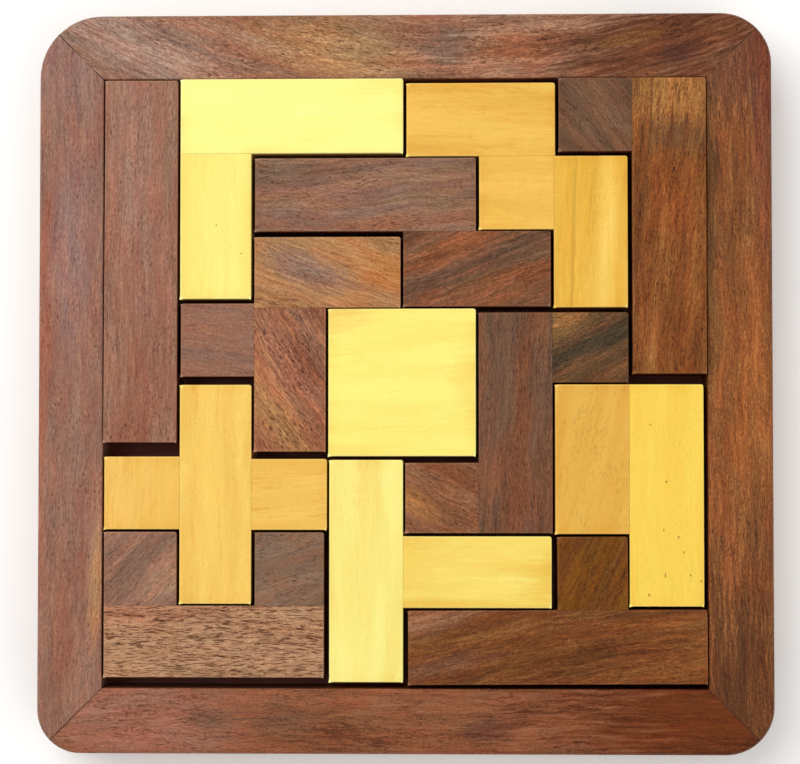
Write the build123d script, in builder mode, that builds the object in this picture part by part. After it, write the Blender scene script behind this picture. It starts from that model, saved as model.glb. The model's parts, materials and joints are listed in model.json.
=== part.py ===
from build123d import *
import os
from typing import NamedTuple

# A wooden tray puzzle: the twelve pentominoes and one 2 x 2 square fill an 8 x 8 tray.
# Millimetres. The origin is at the middle of the underside, +Z is up, and +Y is the back.

# Driving dimensions
unit = 15.2  # one square of the grid that every puzzle piece is made of
spacing = 15.4  # from square to square as the pieces lie spread in the tray
grid = 8  # squares along each side of the tray
play_across = 1.6  # spare room along X beside eight spaced squares
play_deep = 2.8  # spare room along Y
rail_width = 13.5
tray_height = 16.0
panel_thickness = 4.0
rabbet_width = 5.0  # how far the panel reaches under each rail
panel_gap = 0.2  # between the panel's edge and the rabbet's wall
piece_thickness = 12.8  # stands a little above the rails
outer_round = 1.4  # top outer edge of the tray
inner_round = 0.3  # top inner edge of the rails
under_round = 0.6  # bottom outer edge of the tray
edge_round = 0.25  # top and bottom edges of the puzzle pieces
corner_round = 0.5  # upright corners of the puzzle pieces

# Worked out from them
opening_x = grid * spacing + play_across
opening_y = grid * spacing + play_deep
tray_x = opening_x + 2 * rail_width
tray_y = opening_y + 2 * rail_width

# Upright corners of the tray, each rounded by hand to its own radius
front, back, left, right = 0, -1, 0, -1  # first or last along Y, first or last along X
corner_radii = {(back, left): 13.0, (back, right): 10.5, (front, left): 9.0, (front, right): 10.0}


class Block(NamedTuple):
    """One length of wood. Column 0 is at the left and row 0 at the back.

    The last four say how much shorter than its squares it is cut at each end (less than 0: longer).
    """

    name: str
    column: int
    row: int
    columns: int = 1
    rows: int = 1
    left: float = 0.0
    right: float = 0.0
    back: float = 0.0
    front: float = 0.0


class Piece(NamedTuple):
    """A puzzle piece: its blocks, and how it lies in the tray off its place in the grid."""

    blocks: list
    to_right: float
    to_back: float
    turn: float = 0.0  # degrees, counter-clockwise seen from above
    thickness: float = piece_thickness


pieces = [
    Piece([Block("i_bar", 0, 0, 1, 5, front=0.9)], -0.6, 1.6, -0.15),
    Piece(
        [
            Block("v_bar", 1, 0, 3, 1, left=-0.3, right=-0.2, front=-0.3),
            Block("v_leg", 1, 1, 1, 2, left=-0.3, right=0.8, back=0.3),
        ],
        -0.05,
        1.5,
        thickness=13.5,
    ),
    Piece(
        [
            Block("w_bar", 4, 0, 2, 1, right=-0.3),
            Block("w_middle", 5, 1, left=-0.2),
            Block("w_leg", 6, 1, 1, 2, front=-0.9),
        ],
        0.2,
        0.6,
    ),
    Piece(
        [
            Block("l_foot", 6, 0, left=0.1),
            Block("l_bar", 7, 0, 1, 4, front=-0.3),
        ],
        0.8,
        1.6,
        thickness=13.3,
    ),
    Piece(
        [
            Block("n_bar", 2, 1, 3, 1, left=-0.3, right=0.2),
            Block("n_end", 4, 2, 2, 1, front=-0.4),
        ],
        -0.15,
        0.4,
    ),
    Piece(
        [
            Block("f_bar", 2, 2, 2, 1, right=0.15, back=0.55),
            Block("f_leg", 2, 3, 1, 2, right=0.4, front=0.7),
            Block("f_arm", 1, 3, back=-0.9, front=1.0),
        ],
        -0.25,
        0.1,
    ),
    Piece([Block("square_block", 3, 3, 2, 2)], -0.4, -0.05, thickness=13.1),
    Piece(
        [
            Block("z_bar", 5, 3, 1, 3, back=0.2),
            Block("z_back_arm", 6, 3, right=-0.4, back=0.2, front=0.55),
            Block("z_front_arm", 4, 5, left=0.1, back=0.75),
        ],
        -0.15,
        -0.55,
    ),
    Piece(
        [
            Block("x_bar", 1, 4, 1, 3, left=0.1, right=0.3, back=0.5),
            Block("x_left_arm", 0, 5, left=-0.3, right=-0.1, back=0.1, front=0.1),
            Block("x_right_arm", 2, 5, left=-0.3, right=-0.1, back=0.6),
        ],
        -0.3,
        0.3,
    ),
    Piece(
        [
            Block("p_bar", 7, 4, 1, 3, back=0.3, front=-0.2),
            Block("p_side", 6, 4, 1, 2, back=0.3, front=-0.6),
        ],
        0.05,
        0.1,
        thickness=13.1,
    ),
    Piece(
        [
            Block("t_bar", 3, 5, 1, 3),
            Block("t_stem", 4, 6, 2, 1, right=-0.1, back=0.5),
        ],
        -0.3,
        -0.3,
    ),
    Piece(
        [
            Block("u_bar", 0, 7, 3, 1, right=0.2, front=0.5),
            Block("u_left_prong", 0, 6, right=0.2),
            Block("u_right_prong", 2, 6, left=0.75, right=0.2, back=0.1),
        ],
        -0.6,
        0.2,
    ),
    Piece(
        [
            Block("y_bar", 4, 7, 4, 1, left=0.1, right=-0.6),
            Block("y_arm", 6, 6, left=0.4, right=0.35, back=0.2),
        ],
        0.3,
        -0.6,
        0.3,
    ),
]


def block_box(block):
    """The left, right, front and back of a block on the grid, before its piece is moved."""
    half = grid * unit / 2
    left = block.column * unit - half + block.left
    right = (block.column + block.columns) * unit - half - block.right
    back = half - block.row * unit - block.back
    front = half - (block.row + block.rows) * unit + block.front
    return left, right, front, back


def piece_middle(piece):
    """The middle of the rectangle around a piece on the grid."""
    lefts, rights, fronts, backs = zip(*(block_box(block) for block in piece.blocks))
    return (min(lefts) + max(rights)) / 2, (min(fronts) + max(backs)) / 2


def resting_plane(piece):
    """The plane on the tray's floor that a piece is drawn on, at its middle and with its turn."""
    middle_x, middle_y = piece_middle(piece)
    spread = spacing / unit
    place = (middle_x * spread + piece.to_right, middle_y * spread + piece.to_back, panel_thickness)
    return Plane(place).rotated((0, 0, piece.turn))


def draw_block(block, middle):
    """Adds a block's rectangle to the sketch in hand, measured from its piece's middle."""
    left, right, front, back = block_box(block)
    with Locations(((left + right) / 2 - middle[0], (front + back) / 2 - middle[1])):
        Rectangle(right - left, back - front)


def write_part(part, name):
    """Labels a finished sub-part and writes it as a STEP file of its own."""
    part.label = name
    export_step(part, f"parts/{name}.step")


os.makedirs("parts", exist_ok=True)

# Tray: a rounded frame with a rabbet under its opening, then cut into four rails at the mitres.
with BuildPart() as frame_ring:
    with BuildSketch() as tray_outline:
        Rectangle(tray_x, tray_y)
        for (end_y, end_x), radius in corner_radii.items():
            corner = tray_outline.vertices().group_by(Axis.Y)[end_y].sort_by(Axis.X)[end_x]
            fillet(corner, radius)
    extrude(amount=tray_height)
    fillet(frame_ring.faces().sort_by(Axis.Z)[-1].edges(), outer_round)
    fillet(frame_ring.faces().sort_by(Axis.Z)[0].edges(), under_round)
    with BuildSketch():
        Rectangle(opening_x, opening_y)
    extrude(amount=tray_height, mode=Mode.SUBTRACT)
    fillet(frame_ring.faces().sort_by(Axis.Z)[-1].inner_wires()[0].edges(), inner_round)
    with BuildSketch():
        Rectangle(opening_x + 2 * rabbet_width, opening_y + 2 * rabbet_width)
    extrude(amount=panel_thickness, mode=Mode.SUBTRACT)

half_x = tray_x / 2
half_y = tray_y / 2
open_x = opening_x / 2
open_y = opening_y / 2
rail_outlines = {
    "rail_back": [(-half_x, half_y), (half_x, half_y), (open_x, open_y), (-open_x, open_y)],
    "rail_front": [(-half_x, -half_y), (half_x, -half_y), (open_x, -open_y), (-open_x, -open_y)],
    "rail_left": [(-half_x, -half_y), (-half_x, half_y), (-open_x, open_y), (-open_x, -open_y)],
    "rail_right": [(half_x, -half_y), (half_x, half_y), (open_x, open_y), (open_x, -open_y)],
}
for rail_name, mitred_outline in rail_outlines.items():
    with BuildPart() as rail:
        add(frame_ring.part)
        with BuildSketch():
            Polygon(*mitred_outline, align=None)
        extrude(amount=tray_height, mode=Mode.INTERSECT)
    write_part(rail.part, rail_name)

# Base panel: lies in the rabbet, flush with the underside of the rails.
with BuildPart() as base_panel:
    with BuildSketch():
        reach = 2 * (rabbet_width - panel_gap)
        Rectangle(opening_x + reach, opening_y + reach)
    extrude(amount=panel_thickness)
write_part(base_panel.part, "base_panel")

# Puzzle pieces: each is drawn and rounded as one, then cut at its glue lines, which stay sharp.
for piece in pieces:
    middle = piece_middle(piece)
    floor = resting_plane(piece)
    with BuildPart() as glued:
        with BuildSketch(floor):
            for block in piece.blocks:
                draw_block(block, middle)
        extrude(amount=piece.thickness)
        uprights = glued.edges().filter_by(Axis.Z)
        fillet([edge for edge in uprights if not edge.is_interior], corner_round)
        fillet(glued.faces().sort_by(Axis.Z)[-1].edges(), edge_round)
        fillet(glued.faces().sort_by(Axis.Z)[0].edges(), edge_round)
    for block in piece.blocks:
        with BuildPart() as wood:
            add(glued.part)
            with BuildSketch(floor):
                draw_block(block, middle)
            extrude(amount=piece.thickness, mode=Mode.INTERSECT)
        write_part(wood.part, block.name)
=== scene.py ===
"""The looks of the wooden tray puzzle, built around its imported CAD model.

Blender works in metres. Sizes that belong to the wood are named here in millimetres.
+Y is the back of the tray and +X its right.
"""

import json
import math
from typing import NamedTuple

import bpy
from mathutils import Euler, Matrix, Vector, noise


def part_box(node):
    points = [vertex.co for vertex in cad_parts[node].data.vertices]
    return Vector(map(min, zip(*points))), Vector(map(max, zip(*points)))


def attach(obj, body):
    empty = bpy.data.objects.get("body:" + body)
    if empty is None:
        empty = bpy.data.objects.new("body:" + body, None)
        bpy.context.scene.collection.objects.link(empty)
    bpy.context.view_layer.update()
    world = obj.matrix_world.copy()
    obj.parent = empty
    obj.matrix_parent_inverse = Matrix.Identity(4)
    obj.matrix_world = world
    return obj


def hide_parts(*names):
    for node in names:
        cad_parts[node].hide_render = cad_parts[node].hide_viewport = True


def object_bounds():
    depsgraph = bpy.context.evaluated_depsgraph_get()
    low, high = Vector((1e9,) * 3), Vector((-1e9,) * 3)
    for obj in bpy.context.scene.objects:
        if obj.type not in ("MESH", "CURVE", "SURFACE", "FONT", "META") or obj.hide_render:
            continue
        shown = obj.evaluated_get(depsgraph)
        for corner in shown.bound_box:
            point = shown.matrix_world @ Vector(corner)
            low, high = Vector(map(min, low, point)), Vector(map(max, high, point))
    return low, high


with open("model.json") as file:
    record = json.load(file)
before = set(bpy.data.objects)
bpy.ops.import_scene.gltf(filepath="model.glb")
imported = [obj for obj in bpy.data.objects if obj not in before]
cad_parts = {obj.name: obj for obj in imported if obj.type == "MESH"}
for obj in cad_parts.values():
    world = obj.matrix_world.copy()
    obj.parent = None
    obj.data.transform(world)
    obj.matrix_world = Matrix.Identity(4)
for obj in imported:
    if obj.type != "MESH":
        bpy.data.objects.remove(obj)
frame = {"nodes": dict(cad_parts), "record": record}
cad_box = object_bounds()

MM = 0.001
PER_MM = (1 / MM, 1 / MM, 1 / MM)  # brings a place from metres to millimetres

# ---------------------------------------------------------------- looks of the wood


class Patch(NamedTuple):
    """A stretch of another colour on the wood, long along the grain. Most are the wood's own; a few on the
    rails are painted sheen and shade.
    """

    colour: tuple
    at: tuple  # across and up the block, from 0 to 1
    along: float  # reach along the grain, in mm
    across: float  # reach across the grain, in mm
    strength: float = 0.7


class Wood(NamedTuple):
    """How one length of wood looks. Lengths are in mm, colours in 8-bit sRGB."""

    mid: tuple
    second: tuple  # what mid drifts to in soft streaks
    dark: tuple
    light: tuple
    angle: float = 0.0  # of the grain, in degrees from +X
    bow: float = 0.0  # how much its slope grows with each mm along the block
    bands: float = 4.0  # width of the broad figure across the grain
    figure: float = 0.32  # how strongly it shows
    lines: float = 0.7  # width of the growth lines
    lining: float = 0.5
    fibre: float = 0.55
    wander: float = 0.7  # how far the grain bends off its line
    wander_length: float = 30.0
    speckle: float = 0.75  # fine grains in all directions
    pores: float = 0.7
    pore_length: float = 1.2
    pore_width: float = 0.18
    pore_share: float = 0.59  # lower: more pores
    pore_gaps: float = 0.8  # how far the pores thin out in places
    flecks: float = 0.26
    tint: float = 0.5  # how far the hue drifts between reddish and greenish
    streak: float = 2.6  # width of the streaks of the second colour
    specks: float = 0.0  # lone dark spots
    border: float = 0.3  # how strong the painted shade is near its free edges
    rim: float = 0.3  # how much paler its edges are: painted highlight, with the finish worn there
    side: tuple = (124, 74, 54)  # of its upright faces: painted shade, darker and warmer, for the shade down the gaps
    roughness: float = 0.42
    patches: tuple = ()


ROSE = Wood(mid=(146, 106, 84), second=(150, 104, 88), dark=(112, 76, 58), light=(178, 136, 112))
YELLOW = Wood(
    mid=(251, 234, 128),
    second=(250, 226, 116),
    dark=(246, 214, 108),
    light=(254, 248, 146),
    figure=0.35,
    lining=0.2,
    fibre=0.22,
    speckle=0.2,
    side=(238, 198, 106),
    bands=6.0,
    wander=0.4,
    pores=0.16,
    pore_length=0.9,
    pore_width=0.14,
    pore_share=0.64,
    flecks=0.05,
    tint=0.12,
    border=0.6,
    streak=5.0,
    rim=0.6,
    roughness=0.38,
)
TAN = YELLOW._replace(
    mid=(240, 193, 92),
    second=(235, 185, 84),
    dark=(226, 174, 74),
    light=(248, 206, 104),
    figure=0.35,
    lining=0.28,
    fibre=0.3,
    speckle=0.3,
    pores=0.25,
    side=(218, 158, 78),
    flecks=0.08,
)

LOOKS = {
    "i_bar": ROSE._replace(
        mid=(148, 108, 88),
        second=(150, 105, 88),
        dark=(132, 90, 72),
        light=(170, 128, 106),
        angle=89,
        figure=0.3,
        wander=0.4,
        patches=(
            Patch((152, 98, 76), (0.5, 0.14), 26, 6, 0.6),
            Patch((158, 116, 100), (0.4, 0.8), 30, 6, 0.5),
        ),
    ),
    "v_bar": YELLOW._replace(
        mid=(252, 250, 150),
        second=(252, 246, 144),
        dark=(250, 238, 130),
        light=(254, 254, 166),
        angle=1,
    ),
    "v_leg": YELLOW._replace(
        mid=(252, 236, 132),
        second=(250, 232, 126),
        dark=(248, 220, 112),
        light=(254, 248, 150),
        angle=90,
        specks=0.7,
    ),
    "w_bar": TAN._replace(angle=-3, patches=(Patch((224, 172, 76), (0.08, 0.1), 18, 4, 0.6),)),
    "w_middle": TAN._replace(mid=(240, 190, 90), angle=-2),
    "w_leg": TAN._replace(
        mid=(234, 186, 80),
        second=(230, 178, 70),
        dark=(216, 164, 62),
        light=(246, 200, 96),
        angle=88,
        bands=3.0,
        patches=(
            Patch((246, 206, 102), (0.72, 0.35), 34, 2.6, 0.7),
            Patch((198, 154, 62), (0.27, 0.5), 60, 0.45, 0.6),
        ),
    ),
    "l_foot": ROSE._replace(
        mid=(120, 86, 64),
        second=(106, 78, 60),
        dark=(94, 64, 44),
        light=(140, 104, 80),
        angle=-52,
    ),
    "l_bar": ROSE._replace(
        mid=(138, 84, 46),
        second=(124, 70, 38),
        dark=(102, 58, 30),
        light=(164, 108, 64),
        angle=84,
        figure=0.35,
        pores=0.85,
        patches=(
            Patch((170, 114, 64), (0.5, 0.94), 13, 12, 0.8),
            Patch((90, 68, 50), (0.62, 0.8), 5, 9, 0.65),
            Patch((148, 84, 44), (0.55, 0.58), 15, 6, 0.6),
            Patch((156, 102, 58), (0.25, 0.12), 12, 3, 0.5),
            Patch((98, 62, 36), (0.04, 0.45), 30, 2.4, 0.7),
        ),
    ),
    "n_bar": ROSE._replace(
        mid=(146, 108, 84),
        second=(136, 100, 84),
        dark=(118, 82, 60),
        light=(168, 130, 106),
        angle=3,
        patches=(
            Patch((114, 88, 72), (0.14, 0.8), 20, 4, 0.7),
            Patch((154, 98, 72), (0.6, 0.1), 26, 2, 0.6),
        ),
    ),
    "n_end": ROSE._replace(
        mid=(118, 84, 62),
        second=(132, 84, 56),
        dark=(92, 60, 40),
        light=(154, 106, 82),
        angle=21,
        figure=0.45,
        patches=(
            Patch((92, 68, 56), (0.45, 0.55), 22, 3, 0.6),
            Patch((146, 88, 54), (0.33, 0.86), 15, 2, 0.6),
            Patch((142, 90, 62), (0.66, 0.2), 17, 2.2, 0.6),
        ),
    ),
    "f_bar": ROSE._replace(
        mid=(168, 122, 84),
        second=(176, 126, 82),
        dark=(142, 94, 58),
        light=(192, 148, 110),
        angle=-20,
        pore_share=0.56,
        pores=0.7,
        patches=(
            Patch((140, 108, 98), (0.36, 0.6), 12, 4.5, 0.7),
            Patch((188, 120, 62), (0.94, 0.5), 8, 5, 0.7),
        ),
    ),
    "f_leg": ROSE._replace(
        mid=(155, 106, 80),
        second=(150, 94, 70),
        dark=(122, 78, 56),
        light=(194, 138, 100),
        angle=-58,
        figure=0.4,
        tint=0.25,
        pores=0.95,
        pore_length=1.6,
        pore_width=0.24,
        pore_share=0.57,
        patches=(
            Patch((182, 132, 86), (0.3, 0.25), 20, 4, 0.75),
            Patch((148, 96, 80), (0.5, 0.62), 18, 3, 0.5),
            Patch((126, 94, 78), (0.9, 0.72), 18, 3.4, 0.6),
        ),
    ),
    "f_arm": ROSE._replace(
        mid=(148, 105, 84),
        second=(142, 102, 86),
        dark=(130, 90, 72),
        light=(164, 120, 98),
        angle=-5,
        figure=0.3,
        speckle=1.1,
        pores=0.4,
    ),
    "square_block": YELLOW._replace(
        mid=(252, 240, 130),
        second=(250, 234, 124),
        dark=(248, 224, 112),
        light=(254, 250, 148),
        angle=2,
        patches=(
            Patch((245, 214, 118), (0.04, 0.95), 9, 4, 0.7),
            Patch((246, 216, 110), (0.98, 0.5), 5, 10, 0.6),
        ),
    ),
    "z_bar": ROSE._replace(
        mid=(120, 80, 58),
        second=(112, 80, 62),
        dark=(96, 62, 44),
        light=(140, 96, 72),
        angle=86,
        patches=(
            Patch((134, 78, 52), (0.5, 0.3), 30, 3.4, 0.55),
            Patch((108, 82, 66), (0.3, 0.8), 26, 4.5, 0.6),
        ),
    ),
    "z_back_arm": ROSE._replace(
        mid=(98, 72, 50),
        second=(88, 66, 46),
        dark=(72, 54, 36),
        light=(134, 96, 64),
        angle=28,
        patches=(
            Patch((156, 112, 68), (0.08, 0.9), 10, 3.6, 0.9),
            Patch((68, 58, 46), (0.45, 0.55), 20, 2.8, 0.8),
            Patch((114, 78, 52), (0.88, 0.2), 13, 3, 0.7),
        ),
    ),
    "z_front_arm": ROSE._replace(
        mid=(142, 98, 72),
        second=(134, 86, 60),
        dark=(110, 72, 46),
        light=(172, 122, 88),
        angle=-25,
        patches=(Patch((176, 118, 70), (0.04, 0.5), 9, 3, 0.7),),
    ),
    "x_bar": TAN._replace(
        mid=(244, 202, 102),
        second=(240, 196, 98),
        dark=(232, 184, 86),
        light=(252, 216, 116),
        angle=90,
        bands=3.0,
    ),
    "x_left_arm": TAN._replace(mid=(242, 196, 104), second=(238, 190, 95), angle=88),
    "x_right_arm": TAN._replace(mid=(242, 198, 102), second=(238, 192, 95), angle=3),
    "p_bar": TAN._replace(
        mid=(248, 210, 90),
        second=(246, 206, 86),
        dark=(240, 198, 80),
        light=(252, 220, 100),
        angle=90,
        lining=0.3,
        specks=0.8,
    ),
    "p_side": TAN._replace(
        mid=(230, 180, 84),
        second=(226, 174, 78),
        dark=(214, 160, 64),
        light=(238, 190, 92),
        angle=78,
        pores=0.4,
        pore_length=1.3,
        pore_share=0.6,
    ),
    "t_bar": YELLOW._replace(
        mid=(250, 238, 140),
        second=(248, 230, 130),
        dark=(244, 212, 108),
        light=(254, 246, 148),
        angle=91,
        specks=0.8,
    ),
    "t_stem": YELLOW._replace(
        mid=(248, 220, 112),
        second=(245, 212, 104),
        dark=(234, 196, 88),
        light=(252, 240, 138),
        angle=1,
        patches=(
            Patch((238, 196, 86), (0.98, 0.4), 7, 6, 0.7),
            Patch((238, 200, 92), (0.6, 0.03), 24, 1.6, 0.6),
        ),
    ),
    "u_bar": ROSE._replace(
        mid=(176, 134, 102),
        second=(182, 138, 106),
        dark=(134, 90, 60),
        light=(200, 158, 122),
        angle=1,
        pores=1.0,
        tint=0.2,
        pore_gaps=0.1,
        pore_length=2.1,
        pore_width=0.22,
        pore_share=0.545,
        patches=(Patch((170, 112, 86), (0.1, 0.86), 18, 3, 0.7),),
    ),
    "u_left_prong": ROSE._replace(
        mid=(150, 110, 92),
        second=(140, 104, 88),
        dark=(116, 86, 72),
        light=(176, 134, 108),
        angle=48,
        figure=0.2,
        lining=0.22,
        patches=(
            Patch((116, 90, 76), (0.42, 0.5), 18, 3, 0.6),
            Patch((180, 136, 108), (0.95, 0.45), 12, 4, 0.65),
        ),
    ),
    "u_right_prong": ROSE._replace(
        mid=(130, 102, 84),
        second=(138, 104, 82),
        dark=(110, 88, 70),
        light=(150, 120, 100),
        angle=20,
        figure=0.25,
        lining=0.22,
        patches=(Patch((150, 100, 74), (0.35, 0.3), 4, 1.8, 0.6),),
    ),
    "y_bar": ROSE._replace(
        mid=(118, 72, 42),
        second=(126, 76, 42),
        dark=(94, 52, 26),
        light=(144, 96, 64),
        angle=10,
        bow=-0.002,
        figure=0.5,
        lining=0.6,
        patches=(
            Patch((142, 100, 74), (0.06, 0.85), 18, 3.4, 0.7),
            Patch((120, 82, 62), (0.1, 0.25), 16, 3, 0.6),
            Patch((146, 84, 44), (0.8, 0.55), 26, 1.6, 0.6),
            Patch((88, 52, 32), (0.5, 0.3), 30, 2.2, 0.6),
        ),
    ),
    "y_arm": ROSE._replace(
        mid=(120, 74, 30),
        second=(112, 70, 34),
        dark=(98, 56, 20),
        light=(138, 90, 46),
        angle=62,
    ),
    "rail_back": ROSE._replace(
        mid=(146, 106, 84),
        second=(152, 102, 78),
        dark=(112, 76, 56),
        light=(180, 142, 116),
        angle=-5,
        bow=0.0065,
        pores=0.7,
        pore_width=0.22,
        pore_share=0.57,
        figure=0.38,
        patches=(
            # Painted sheen: lighter and more mauve at the left end
            Patch((154, 122, 108), (0.1, 0.5), 30, 12, 0.85),
            Patch((174, 128, 106), (0.2, 0.15), 15, 2.6, 0.6),
            Patch((176, 132, 90), (0.39, 0.5), 20, 8, 0.8),
            Patch((112, 88, 76), (0.56, 0.5), 8, 5, 0.65),
            Patch((150, 94, 64), (0.67, 0.5), 15, 4, 0.7),
            # Painted shade: darker and more orange at the right end
            Patch((108, 64, 42), (0.88, 0.5), 30, 16, 0.95),
            Patch((146, 98, 54), (0.82, 0.6), 9, 2.0, 0.5),
            Patch((88, 56, 46), (0.89, 0.4), 6, 5, 0.7),
        ),
    ),
    "rail_front": ROSE._replace(
        mid=(142, 88, 60),
        second=(134, 82, 56),
        dark=(102, 60, 38),
        light=(158, 106, 80),
        angle=0,
        patches=(
            # Painted sheen: lighter and pinker at the left end
            Patch((162, 108, 88), (0.12, 0.5), 30, 12, 0.85),
            Patch((112, 84, 64), (0.23, 0.5), 6, 3.4, 0.55),
            Patch((112, 84, 64), (0.33, 0.45), 9, 4, 0.55),
            Patch((102, 62, 50), (0.62, 0.4), 7, 3.4, 0.7),
            # Painted shade: darker and more orange at the right end
            Patch((106, 54, 24), (0.95, 0.5), 44, 18, 0.97),
        ),
    ),
    "rail_left": ROSE._replace(
        mid=(148, 110, 94),
        second=(146, 104, 88),
        dark=(130, 90, 76),
        light=(170, 130, 108),
        angle=89,
        patches=(
            # Painted sheen: the next two are lighter and more mauve towards the back corner
            Patch((150, 112, 106), (0.5, 0.7), 26, 6, 0.7),
            Patch((144, 112, 104), (0.5, 0.97), 16, 12, 0.7),
            Patch((162, 96, 74), (0.05, 0.5), 60, 1.8, 0.6),
            Patch((190, 142, 98), (0.92, 0.22), 16, 1.8, 0.7),
            Patch((146, 98, 78), (0.4, 0.15), 26, 6, 0.6),
        ),
    ),
    "rail_right": ROSE._replace(
        mid=(132, 82, 50),
        second=(136, 84, 50),
        dark=(104, 60, 38),
        light=(168, 110, 70),
        angle=91,
        figure=0.4,
        patches=(
            # Painted shade: darker at the back right corner
            Patch((106, 66, 50), (0.5, 0.97), 20, 14, 0.85),
            Patch((122, 68, 56), (0.9, 0.85), 34, 3.6, 0.5),
            # Painted shadow cast by the L piece along the rail's inner edge
            Patch((94, 70, 44), (0.05, 0.7), 40, 2.0, 0.7),
            Patch((154, 94, 52), (0.55, 0.5), 30, 8, 0.7),
            # Painted shade: darker at the front right corner
            Patch((98, 62, 40), (0.55, 0.04), 34, 14, 0.9),
        ),
    ),
}


# ---------------------------------------------------------------- node graphs

SHEEN = 0.011  # share of white light that the wood's surface reflects
SPECULAR = 0.13
MITRE_WIDTH = 0.13  # half the width of the dark line where two rails meet, in mm
BUMP_DEPTH = 0.06  # mm

# How strongly each layer of the grain moves the wood's tone
FIGURE_GAIN = 1.6
LINING_GAIN = 1.5
FIBRE_GAIN = 1.4

# What the wood's colour is multiplied by
REDDISH = (1.15, 0.93, 0.86, 1.0)
GREENISH = (0.88, 1.05, 1.1, 1.0)
LIGHT_FLECK = (1.5, 1.5, 1.45, 1.0)
OPEN_PORE = (0.34, 0.27, 0.24, 1.0)
DARK_SPECK = (0.35, 0.24, 0.16, 1.0)
# Painted shade near a block's free edges, darker and warmer
EDGE_SHADE = (0.93, 0.8, 0.62, 1.0)


def linear(colour):
    """An 8-bit sRGB colour as the linear RGBA that shaders take."""
    parts = []
    for value in colour:
        share = value / 255
        parts.append(share / 12.92 if share <= 0.04045 else ((share + 0.055) / 1.055) ** 2.4)
    return (*parts, 1.0)


class Graph:
    """A material's nodes, added one call at a time. Each call returns the socket that it makes."""

    def __init__(self, name):
        self.material = bpy.data.materials.new(name)
        self.material.use_nodes = True
        self.nodes = self.material.node_tree.nodes
        self.links = self.material.node_tree.links
        self.shader = self.nodes["Principled BSDF"]

    def put(self, socket, value):
        """Links value to a socket if it is one, or sets it there."""
        if isinstance(value, bpy.types.NodeSocket):
            self.links.new(value, socket)
        else:
            socket.default_value = value

    def math(self, operation, *values):
        node = self.nodes.new("ShaderNodeMath")
        node.operation = operation
        for socket, value in zip(node.inputs, values):
            self.put(socket, value)
        return node.outputs[0]

    def vector(self, operation, *values):
        node = self.nodes.new("ShaderNodeVectorMath")
        node.operation = operation
        for socket, value in zip(node.inputs, values):
            self.put(socket, value)
        return node.outputs["Value" if operation == "LENGTH" else "Vector"]

    def noise(self, place, sizes, seed, detail=2.0, roughness=0.5):
        """Noise whose grains are as long, wide and deep as sizes says. Its middle is 0.5."""
        scaled = self.vector("MULTIPLY", place, tuple(1 / size for size in sizes))
        moved = self.vector("ADD", scaled, (seed * 7.31, seed * 3.77, seed * 5.13))
        node = self.nodes.new("ShaderNodeTexNoise")
        node.inputs["Scale"].default_value = 1.0
        node.inputs["Detail"].default_value = detail
        node.inputs["Roughness"].default_value = roughness
        self.links.new(moved, node.inputs["Vector"])
        return node.outputs["Fac"]

    def added(self, value, factor, base):
        """The base, moved by how far a noise is from its middle."""
        return self.math("MULTIPLY_ADD", self.math("SUBTRACT", value, 0.5), factor, base)

    def between(self, value, low, high, start=0.0, end=1.0):
        """Goes smoothly from start to end as value goes from low to high."""
        node = self.nodes.new("ShaderNodeMapRange")
        node.interpolation_type = "SMOOTHSTEP"
        for name, number in zip(("From Min", "From Max", "To Min", "To Max"), (low, high, start, end)):
            node.inputs[name].default_value = number
        self.links.new(value, node.inputs["Value"])
        return node.outputs["Result"]

    def ramp(self, value, stops):
        """Colours in 8-bit sRGB at positions from 0 to 1."""
        node = self.nodes.new("ShaderNodeValToRGB")
        points = node.color_ramp.elements
        while len(points) < len(stops):
            points.new(1.0)
        for point, (position, colour) in zip(points, stops):
            point.position = position
            point.color = linear(colour)
        self.links.new(value, node.inputs["Fac"])
        return node.outputs["Color"]

    def blend(self, share, first, second, kind="MIX"):
        node = self.nodes.new("ShaderNodeMix")
        node.data_type = "RGBA"
        node.blend_type = kind
        share_socket, first_socket, second_socket = node.inputs[0], node.inputs[6], node.inputs[7]
        self.put(share_socket, share)
        self.put(first_socket, first)
        self.put(second_socket, second)
        return node.outputs[2]

    def tinted(self, share, colour, factor):
        """The colour, multiplied by a factor where the share is 1."""
        return self.blend(share, colour, factor, "MULTIPLY")

    def parts(self, vector):
        """The three numbers of a vector."""
        node = self.nodes.new("ShaderNodeSeparateXYZ")
        self.links.new(vector, node.inputs[0])
        return node.outputs

    def joined(self, *values):
        """A vector made of three numbers."""
        node = self.nodes.new("ShaderNodeCombineXYZ")
        for socket, value in zip(node.inputs, values):
            self.put(socket, value)
        return node.outputs[0]

    def attribute(self, name):
        node = self.nodes.new("ShaderNodeAttribute")
        node.attribute_name = name
        return node.outputs["Fac"]

    def object_place(self):
        """Where a point is in its object, in metres."""
        return self.nodes.new("ShaderNodeTexCoord").outputs["Object"]


def stain(colour):
    """A wood's own colour, once the white light that its satin surface adds is taken off."""
    return (*(max(0.002, part - SHEEN) for part in linear(colour)[:3]), 1.0)


def share_of(colour, base):
    """What a base colour is multiplied by to give this colour."""
    return tuple(top / bottom for top, bottom in zip(linear(colour), linear(base)))


def straight_grain(graph, look, middle):
    """Coordinates in mm from the block's middle: along its grain, across it and up."""
    centred = graph.vector("SUBTRACT", graph.object_place(), tuple(value * MM for value in middle))
    mapping = graph.nodes.new("ShaderNodeMapping")
    mapping.inputs["Rotation"].default_value = (0.0, 0.0, -math.radians(look.angle))
    mapping.inputs["Scale"].default_value = PER_MM
    graph.links.new(centred, mapping.inputs["Vector"])
    straight = mapping.outputs["Vector"]
    if not look.bow:
        return straight
    along = graph.parts(straight)[0]
    arch = graph.math("MULTIPLY", graph.math("MULTIPLY", along, along), -look.bow / 2)
    return graph.vector("ADD", straight, graph.joined(0.0, arch, 0.0))


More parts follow.
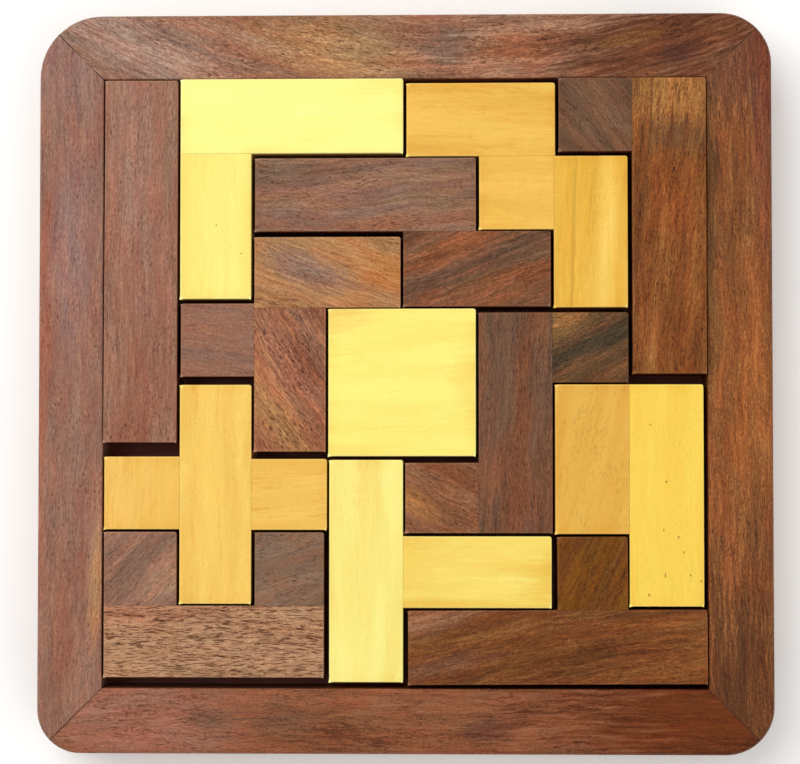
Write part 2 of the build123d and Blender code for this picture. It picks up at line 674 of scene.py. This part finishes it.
def mitre_line(graph):
    """Goes to 1 along the lines where the tray's rails meet at its corners."""
    coordinates = graph.object_place()
    across, deep, _ = graph.parts(coordinates)
    from_line = graph.math("SUBTRACT", graph.math("ABSOLUTE", across), graph.math("ABSOLUTE", deep))
    half_x, half_y = cad_box[1][0], cad_box[1][1]
    distance = graph.math("ABSOLUTE", graph.math("SUBTRACT", from_line, half_x - half_y))
    ragged = graph.noise(graph.vector("MULTIPLY", coordinates, PER_MM), (7.0, 7.0, 7.0), 5)
    width = graph.math("MULTIPLY", graph.between(ragged, 0.35, 0.6, 0.35, 1.5), MITRE_WIDTH * MM)
    return graph.between(graph.math("DIVIDE", distance, width), 1.3, 0.5, 0.0, 1.5)


def wandering_grain(graph, look, straight, seed):
    """The straight grain's coordinates with slow bends, and quicker ones inside them."""
    length = look.wander_length
    long_bend = graph.noise(straight, (length, length * 0.6, length), seed, 1.0)
    short_bend = graph.noise(straight, (length * 0.2, length * 0.1, length * 0.2), seed + 1, 2.0)
    bend = graph.math("MULTIPLY_ADD", short_bend, 0.4, long_bend)
    sideways = graph.math("MULTIPLY", graph.math("SUBTRACT", bend, 0.7), look.wander * 5)
    return graph.vector("ADD", straight, graph.joined(0.0, sideways, 0.0))


def with_patches(graph, look, colour, grain, growth, size):
    """Adds patches of another colour, drawn out along the grain and frayed by the growth lines."""
    turn = Matrix.Rotation(-math.radians(look.angle), 2)
    fray = graph.math("MULTIPLY", graph.math("SUBTRACT", growth, 0.5), 1.4)
    for patch in look.patches:
        off_middle = Vector(((patch.at[0] - 0.5) * size[0], (patch.at[1] - 0.5) * size[1]))
        place = turn @ off_middle
        place.y -= look.bow / 2 * place.x**2
        offset = graph.vector("SUBTRACT", grain, (place.x, place.y, 0.0))
        shrunk = graph.vector("MULTIPLY", offset, (1 / patch.along, 1 / patch.across, 0.0))
        distance = graph.math("ADD", graph.vector("LENGTH", shrunk), fray)
        share = graph.between(distance, 1.15, 0.25, 0.0, patch.strength)
        colour = graph.blend(share, colour, stain(patch.colour))
    return colour


def open_pores(graph, look, straight, grain, seed):
    """Goes to 1 in the open pores, which are short dashes that thin out in places."""
    pore_size = (look.pore_length, look.pore_width, look.pore_width * 1.5)
    field = graph.noise(grain, pore_size, seed + 7, 1.0)
    pore = graph.between(field, look.pore_share, look.pore_share + 0.06, 0.0, look.pores)
    crowding = graph.noise(straight, (10.0, 5.0, 6.0), seed + 11, 2.0)
    return graph.math("MULTIPLY", pore, graph.between(crowding, 0.38, 0.62, 1.0 - look.pore_gaps, 1.15))


def with_edge_shade_and_highlight(graph, look, colour, streaks, figure):
    """Paints shade near the free edges, darker and warmer, and a paler rim along them: painted highlight,
    with the finish worn there.
    """
    uneven = graph.between(streaks, 0.35, 0.65, 0.3, 1.0)
    # Painted shade in a band inside the free edges, uneven along the streaks
    edge_shade = graph.math("MULTIPLY", graph.attribute("border"), uneven)
    colour = graph.tinted(graph.math("MULTIPLY", edge_shade, look.border), colour, EDGE_SHADE)
    # Painted highlight along the rounded edges, with the finish worn there: paler towards the rim
    rim_wear_and_highlight = graph.math("MULTIPLY", graph.attribute("edge"), graph.between(figure, 0.2, 0.6, 0.3, 1.0))
    pale = linear(tuple(min(255, value + 20) for value in look.light))
    return graph.blend(graph.math("MULTIPLY", rim_wear_and_highlight, look.rim), colour, pale)


def set_surface(graph, look, colour, fibre, pore):
    """Gives the shader its colour, a satin gloss and a fine relief of fibres and pores."""
    graph.put(graph.shader.inputs["Base Color"], colour)
    rough = graph.math("MULTIPLY_ADD", pore, 0.2, graph.added(fibre, 0.3, look.roughness))
    graph.put(graph.shader.inputs["Roughness"], rough)
    graph.put(graph.shader.inputs["Specular IOR Level"], SPECULAR)
    height = graph.math("MULTIPLY_ADD", pore, -1.0, graph.math("MULTIPLY", fibre, 0.5))
    bump = graph.nodes.new("ShaderNodeBump")
    graph.put(bump.inputs["Strength"], 0.35)
    graph.put(bump.inputs["Distance"], BUMP_DEPTH * MM)
    graph.put(bump.inputs["Height"], height)
    graph.put(graph.shader.inputs["Normal"], bump.outputs["Normal"])


def wood_material(name, look, seed, middle, size, seam):
    """One length of wood, its grain laid through the block with this middle and size, in mm.

    The seam is made by a function of the graph: it is 1 where the wood meets the next length.
    """
    graph = Graph(name)
    straight = straight_grain(graph, look, middle)
    grain = wandering_grain(graph, look, straight, seed)

    # Figure, growth lines, fibre and speckle make one value, which darkens and lightens the colour.
    figure = graph.noise(grain, (look.bands * 9, look.bands, look.bands), seed + 2, 2.0)
    growth = graph.noise(grain, (look.lines * 14, look.lines, look.lines * 2), seed + 3, 3.0, 0.6)
    fibre = graph.noise(grain, (3.0, 0.2, 0.3), seed + 4, 2.0, 0.6)
    speckle = graph.noise(grain, (0.6, 0.35, 0.4), seed + 8, 2.0, 0.6)
    tone = graph.added(figure, look.figure * FIGURE_GAIN, 0.5)
    tone = graph.added(growth, look.lining * LINING_GAIN, tone)
    tone = graph.added(fibre, look.fibre * FIBRE_GAIN, tone)
    tone = graph.added(speckle, look.speckle, tone)

    streaks = graph.noise(grain, (look.streak * 8, look.streak, look.streak), seed + 5, 2.0)
    colour = graph.blend(graph.between(streaks, 0.4, 0.62), stain(look.mid), stain(look.second))
    colour = with_patches(graph, look, colour, grain, growth, size)
    colour = graph.tinted(graph.between(tone, 0.5, 0.24), colour, share_of(look.dark, look.mid))
    colour = graph.tinted(graph.between(tone, 0.5, 0.76), colour, share_of(look.light, look.mid))

    hue_field = graph.noise(grain, (11.0, 3.2, 5.0), seed + 10, 3.0)
    hue = graph.blend(graph.between(hue_field, 0.32, 0.68), REDDISH, GREENISH)
    colour = graph.tinted(look.tint, colour, hue)

    fleck_field = graph.noise(grain, (1.4, 0.2, 0.3), seed + 6, 1.0)
    colour = graph.tinted(graph.between(fleck_field, 0.6, 0.7, 0.0, look.flecks), colour, LIGHT_FLECK)
    pore = open_pores(graph, look, straight, grain, seed)
    colour = graph.tinted(pore, colour, OPEN_PORE)
    if look.specks:
        speck_field = graph.noise(grain, (1.5, 1.1, 1.3), seed + 9, 0.0)
        colour = graph.tinted(graph.between(speck_field, 0.85, 0.88, 0.0, look.specks), colour, DARK_SPECK)

    colour = with_edge_shade_and_highlight(graph, look, colour, streaks, figure)
    glue = linear(tuple(value * 0.45 for value in look.dark))
    colour = graph.blend(graph.math("MULTIPLY", seam(graph), 0.6), colour, glue)
    # Painted shade: the upright faces take the darker, warmer side colour, for the shade they lie in down
    # the gaps.
    colour = graph.tinted(graph.attribute("side"), colour, share_of(look.side, look.mid))
    set_surface(graph, look, colour, fibre, pore)
    return graph.material


def panel_material():
    """The tray's floor: dark stained plywood, seen only down the gaps and when pieces are out."""
    graph = Graph("panel_wood")
    place = graph.vector("MULTIPLY", graph.object_place(), PER_MM)
    grain = graph.noise(place, (30.0, 1.6, 1.6), 91, 3.0, 0.6)
    fibre = graph.noise(place, (9.0, 0.3, 0.3), 92, 2.0)
    tone = graph.math("MULTIPLY_ADD", fibre, 0.5, grain)
    colour = graph.ramp(tone, [(0.5, (92, 36, 22)), (0.75, (120, 52, 32)), (1.0, (146, 72, 46))])
    graph.put(graph.shader.inputs["Base Color"], colour)
    graph.put(graph.shader.inputs["Roughness"], graph.between(fibre, 0.3, 0.7, 0.5, 0.7))
    return graph.material


# ---------------------------------------------------------------- blocks


class Rect(NamedTuple):
    left: float
    right: float
    front: float
    back: float


# How far each turned piece is turned in the tray, in degrees, as the CAD model has it
TURNS = {"i_piece": -0.15, "y_piece": 0.3}

# All in mm
EDGE_RADIUS = 0.25
CORNER_RADIUS = 0.5
RIM_WIDTH = 0.4  # of the paler band along an edge: painted highlight, with the finish worn there
BORDER_WIDTH = 2.6  # of the band of painted shade inside it
HOLLOW = 0.03  # how far the sanded top dips
NEAR_EDGE = (0.0, 0.05, 0.11, 0.18, 0.26, 0.4, 0.7, 1.2)  # mesh lines close to a side
GRID_STEP = 1.3  # between mesh lines further in
TOUCHING = 0.05  # sides no further apart than this are glued
SHORTEST = 0.02  # a shorter stretch of side is left out
SAME_PLACE = 0.01

WALL_LEVELS = (0.03, 0.5, 0.97)  # heights of the mesh lines on the upright faces


def flat_rect(node, turn):
    """A node's rectangle in plan, in mm, in axes turned with its piece."""
    low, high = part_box(node)
    wide = (high[0] - low[0]) / MM
    deep = (high[1] - low[1]) / MM
    cos, sin = math.cos(turn), abs(math.sin(turn))
    spread = cos * cos - sin * sin
    width = (wide * cos - deep * sin) / spread
    depth = (deep * cos - wide * sin) / spread
    middle = Vector(((low[0] + high[0]) / 2, (low[1] + high[1]) / 2)) / MM
    middle = Matrix.Rotation(-turn, 2) @ middle
    return Rect(middle.x - width / 2, middle.x + width / 2, middle.y - depth / 2, middle.y + depth / 2)


def glued_spans(rect, others):
    """For each side of a block, the spans along it that are glued to another block of its piece."""
    spans = {"left": [], "right": [], "front": [], "back": []}
    for other in others:
        beside = (max(rect.front, other.front), min(rect.back, other.back))
        in_line = (max(rect.left, other.left), min(rect.right, other.right))
        if beside[1] - beside[0] > TOUCHING:
            if abs(other.right - rect.left) < TOUCHING:
                spans["left"].append(beside)
            if abs(other.left - rect.right) < TOUCHING:
                spans["right"].append(beside)
        if in_line[1] - in_line[0] > TOUCHING:
            if abs(other.back - rect.front) < TOUCHING:
                spans["front"].append(in_line)
            if abs(other.front - rect.back) < TOUCHING:
                spans["back"].append(in_line)
    return spans


def free_spans(low, high, glued):
    """What is left of a side once its glued spans are taken out."""
    free = []
    start = low
    for first, last in sorted(glued):
        if first - start > SHORTEST:
            free.append((start, first))
        start = max(start, last)
    if high - start > SHORTEST:
        free.append((start, high))
    return free


def outline_segments(rect, spans):
    """The block's sides that are not glued, as pairs of points."""
    segments = []
    for side, x in (("left", rect.left), ("right", rect.right)):
        for low, high in free_spans(rect.front, rect.back, spans[side]):
            segments.append((Vector((x, low)), Vector((x, high))))
    for side, y in (("front", rect.front), ("back", rect.back)):
        for low, high in free_spans(rect.left, rect.right, spans[side]):
            segments.append((Vector((low, y)), Vector((high, y))))
    return segments


def to_segment(point, segment):
    """How far a point is from a segment."""
    start, end = segment
    along = end - start
    share = max(0.0, min(1.0, (point - start).dot(along) / along.length_squared))
    return (point - start - along * share).length


def grid_lines(low, high):
    """Positions of mesh lines from low to high, close together near both ends."""
    lines = [low + step for step in NEAR_EDGE]
    inner_low = low + NEAR_EDGE[-1]
    inner_high = high - NEAR_EDGE[-1]
    count = max(1, round((inner_high - inner_low) / GRID_STEP))
    lines += [inner_low + (inner_high - inner_low) * index / count for index in range(1, count)]
    lines += [high - step for step in reversed(NEAR_EDGE)]
    return lines


def free_corners(rect, segments):
    """The corners of a block that stand free: both of the sides that meet there are unglued."""
    corners = []
    for x in (rect.left, rect.right):
        for y in (rect.front, rect.back):
            corner = Vector((x, y))
            meeting = [
                (start, end)
                for start, end in segments
                if min((start - corner).length, (end - corner).length) < SAME_PLACE
            ]
            along_y = any(abs(start.x - end.x) < SAME_PLACE for start, end in meeting)
            along_x = any(abs(start.y - end.y) < SAME_PLACE for start, end in meeting)
            if along_y and along_x:
                corners.append(corner)
    return corners


def round_corner(point, corner, rect):
    """Moves a point of the square corner onto the matching place of the rounded one.

    Also returns how far in from the rounded side it is, or None for a point clear of the corner.
    """
    inward_x = 1.0 if corner.x == rect.left else -1.0
    inward_y = 1.0 if corner.y == rect.front else -1.0
    centre = corner + Vector((inward_x, inward_y)) * CORNER_RADIUS
    out_x = (centre.x - point.x) * inward_x
    out_y = (centre.y - point.y) * inward_y
    if out_x <= 0 or out_y <= 0:
        return point, None
    reach = max(out_x, out_y)
    arm = Vector((out_x, out_y)).normalized() * reach
    return centre - Vector((arm.x * inward_x, arm.y * inward_y)), CORNER_RADIUS - reach


class Spot(NamedTuple):
    """A grid point of the block in plan, once its corners are rounded."""

    point: Vector
    distance: float  # in from the nearest free side
    drop: float  # how deep the edge rounding is there


class Skin:
    """The block's vertices and faces, with what the material reads at each vertex."""

    def __init__(self):
        self.vertices = []
        self.faces = []
        self.values = {"edge": [], "border": [], "seam": [], "side": []}

    def add(self, point, z, **values):
        """Adds a vertex and returns its number. A value that isn't given is 0."""
        self.vertices.append((point.x, point.y, z))
        for label, column in self.values.items():
            column.append(values.get(label, 0.0))
        return len(self.vertices) - 1

    def mesh(self, name):
        mesh = bpy.data.meshes.new(name)
        mesh.from_pydata(self.vertices, [], self.faces)
        for label, column in self.values.items():
            layer = mesh.attributes.new(label, "FLOAT", "POINT")
            layer.data.foreach_set("value", column)
        mesh.update()
        return mesh


def settle(x, y, rect, corners, segments, seed):
    """Where a grid point ends up, with the edge worn a little more in some places."""
    point = Vector((x, y))
    inside = None
    for corner in corners:
        if abs(x - corner.x) < CORNER_RADIUS and abs(y - corner.y) < CORNER_RADIUS:
            point, inside = round_corner(point, corner, rect)
    distance = inside
    if inside is None:
        distance = min(to_segment(point, segment) for segment in segments)
    worn = noise.noise(Vector((point.x * 0.45, point.y * 0.45, seed)))
    nick = max(0.0, noise.noise(Vector((point.x * 1.1, point.y * 1.1, seed + 40))) - 0.35)
    radius = EDGE_RADIUS * (1.0 + 0.35 * worn + 1.6 * nick)
    drop = 0.0
    if distance < radius:
        drop = radius - math.sqrt(max(0.0, radius**2 - (radius - distance) ** 2))
    return Spot(point, distance, drop)


def dip(point, seed):
    """How far the hand-sanded top lies under its full height."""
    place = Vector((point.x * 0.09, point.y * 0.09, seed + 9))
    return HOLLOW * (0.5 + 0.5 * noise.noise(place))


def add_sheet(skin, plan, height, upward):
    """Adds the top or the bottom. The height is a function of the spot. Returns the vertex numbers."""
    last_column, last_row = len(plan) - 1, len(plan[0]) - 1
    numbers = []
    for column, line in enumerate(plan):
        numbers.append([])
        for row, spot in enumerate(line):
            on_side = column in (0, last_column) or row in (0, last_row)
            # edge carries the painted highlight along the rim, border the painted shade inside it
            number = skin.add(
                spot.point,
                height(spot),
                edge=max(0.0, 1.0 - spot.distance / RIM_WIDTH),
                border=max(0.0, 1.0 - spot.distance / BORDER_WIDTH),
                seam=1.0 if on_side and spot.distance > EDGE_RADIUS else 0.0,
            )
            numbers[-1].append(number)
    for column in range(last_column):
        for row in range(last_row):
            near, far = numbers[column], numbers[column + 1]
            face = [near[row], far[row], far[row + 1], near[row + 1]]
            skin.faces.append(face if upward else face[::-1])
    return numbers


def add_walls(skin, plan, top, bottom):
    """Adds the upright faces between the rims of the top and the bottom."""
    last_column, last_row = len(plan) - 1, len(plan[0]) - 1
    rim = [(column, 0) for column in range(last_column)]
    rim += [(last_column, row) for row in range(last_row)]
    rim += [(column, last_row) for column in range(last_column, 0, -1)]
    rim += [(0, row) for row in range(last_row, 0, -1)]
    rings = [[bottom[column][row] for column, row in rim]]
    # The upright faces are marked with side, where the material paints shade on them.
    for share in WALL_LEVELS:
        rings.append([])
        for column, row in rim:
            upper = skin.vertices[top[column][row]][2]
            lower = skin.vertices[bottom[column][row]][2]
            z = lower + (upper - lower) * share
            rings[-1].append(skin.add(plan[column][row].point, z, side=1.0))
    rings.append([top[column][row] for column, row in rim])
    for lower, upper in zip(rings, rings[1:]):
        for index in range(len(rim)):
            after = (index + 1) % len(rim)
            skin.faces.append([lower[index], lower[after], upper[after], upper[index]])


def block_mesh(name, rect, others, low_z, high_z, seed):
    """A length of wood with sanded edges where it is free and sharp ones where it is glued."""
    own = outline_segments(rect, glued_spans(rect, others))
    segments = list(own)
    for other in others:
        rest = [item for item in others if item is not other] + [rect]
        segments += outline_segments(other, glued_spans(other, rest))
    corners = free_corners(rect, own)
    plan = [
        [settle(x, y, rect, corners, segments, seed) for y in grid_lines(rect.front, rect.back)]
        for x in grid_lines(rect.left, rect.right)
    ]
    skin = Skin()
    top = add_sheet(skin, plan, lambda spot: high_z - spot.drop - dip(spot.point, seed), True)
    bottom = add_sheet(skin, plan, lambda spot: low_z + spot.drop, False)
    add_walls(skin, plan, top, bottom)
    return skin.mesh(name)


def place_and_size(node):
    """The middle of a node, and its size in plan, in mm."""
    low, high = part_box(node)
    middle = tuple((low[axis] + high[axis]) / 2 / MM for axis in range(3))
    return middle, tuple((high[axis] - low[axis]) / MM for axis in range(2))


def glue_line(graph):
    """Goes to 1 where a block is glued to the next one."""
    return graph.attribute("seam")


def make_block(node, body, siblings, seed):
    """Stands a finished length of wood in for a CAD block."""
    turn = math.radians(TURNS.get(body, 0.0))
    rect = flat_rect(node, turn)
    others = [flat_rect(sibling, turn) for sibling in siblings if sibling != node]
    low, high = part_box(node)
    mesh = block_mesh(f"{node}_wood", rect, others, low[2] / MM, high[2] / MM, seed)
    mesh.transform(Matrix.Scale(MM, 4) @ Matrix.Rotation(turn, 4, "Z"))
    for polygon in mesh.polygons:
        polygon.use_smooth = True
    block = bpy.data.objects.new(f"{node}_wood", mesh)
    bpy.context.scene.collection.objects.link(block)
    smooth = block.modifiers.new("weighted", "WEIGHTED_NORMAL")
    smooth.keep_sharp = True
    middle, _ = place_and_size(node)
    size = (rect.right - rect.left, rect.back - rect.front)
    mesh.materials.append(wood_material(f"{node}_grain", LOOKS[node], seed, middle, size, glue_line))
    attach(block, body)
    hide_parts(node)


bodies = frame["record"]["behaviour"]["bodies"]
seed = 1
for body, members in bodies.items():
    for node in members:
        seed += 11  # every length of wood reads its own stretch of the noise
        if body != "tray":
            make_block(node, body, members, seed)
        elif node in LOOKS:
            middle, size = place_and_size(node)
            wood = wood_material(f"{node}_grain", LOOKS[node], seed, middle, size, mitre_line)
            frame["nodes"][node].material_slots[0].material = wood
        else:
            frame["nodes"][node].material_slots[0].material = panel_material()


# ---------------------------------------------------------------- floor, light and camera


FLOOR_REACH = 3.0
FLOOR_GAP = 0.05 * MM  # keeps the floor just clear of the tray's underside
CAMERA_DISTANCE = 0.50
VIEW_WIDTH = 0.1645  # of what the camera sees at the height of the wood
SENSOR_WIDTH = 36.0  # mm


def make_floor():
    """A plain pale floor, which glows very faintly so that it stays white between the shadows."""
    mesh = bpy.data.meshes.new("floor")
    corners = [(-1, -1), (1, -1), (1, 1), (-1, 1)]
    places = [(x * FLOOR_REACH, y * FLOOR_REACH, -FLOOR_GAP) for x, y in corners]
    mesh.from_pydata(places, [], [(0, 1, 2, 3)])
    floor = bpy.data.objects.new("floor", mesh)
    bpy.context.scene.collection.objects.link(floor)
    graph = Graph("pale_floor")
    graph.put(graph.shader.inputs["Base Color"], linear((254, 254, 253)))
    graph.put(graph.shader.inputs["Roughness"], 0.8)
    graph.put(graph.shader.inputs["Emission Color"], (1.0, 1.0, 1.0, 1.0))
    graph.put(graph.shader.inputs["Emission Strength"], 0.06)
    mesh.materials.append(graph.material)


def make_light(name, place, size, watts, colour):
    """A square soft light that faces the origin."""
    data = bpy.data.lights.new(name, "AREA")
    data.shape = "SQUARE"
    data.size = size
    data.energy = watts
    data.color = colour
    light = bpy.data.objects.new(name, data)
    light.location = place
    light.rotation_euler = (-Vector(place)).to_track_quat("-Z", "Y").to_euler()
    bpy.context.scene.collection.objects.link(light)


def make_world(strength):
    """Even white light from all around."""
    world = bpy.data.worlds.new("studio")
    world.use_nodes = True
    background = world.node_tree.nodes["Background"]
    background.inputs["Color"].default_value = (1.0, 1.0, 1.0, 1.0)
    background.inputs["Strength"].default_value = strength
    bpy.context.scene.world = world


def make_camera(middle, top):
    """Almost straight above, a little towards the front and the right."""
    data = bpy.data.cameras.new("camera")
    data.sensor_width = SENSOR_WIDTH
    data.lens = SENSOR_WIDTH * CAMERA_DISTANCE / VIEW_WIDTH
    camera = bpy.data.objects.new("camera", data)
    turn = Euler((math.radians(2.1), math.radians(1.7), 0.0))
    camera.rotation_euler = turn
    facing = turn.to_matrix() @ Vector((0.0, 0.0, -1.0))
    target = Vector((middle.x, middle.y, top)) + Vector((-0.0008, 0.0, 0.0))
    camera.location = target - facing * CAMERA_DISTANCE
    bpy.context.scene.collection.objects.link(camera)
    bpy.context.scene.camera = camera


make_floor()
low, high = Vector(cad_box[0]), Vector(cad_box[1])
make_camera((low + high) / 2, high.z)
make_light("key", place=(-0.34, 0.36, 0.68), size=0.8, watts=5.1, colour=(1.0, 0.985, 0.96))
make_light("fill", place=(0.45, -0.35, 0.7), size=0.9, watts=2.5, colour=(1.0, 0.97, 0.93))
make_world(0.42)
bpy.context.scene.view_settings.view_transform = "Standard"
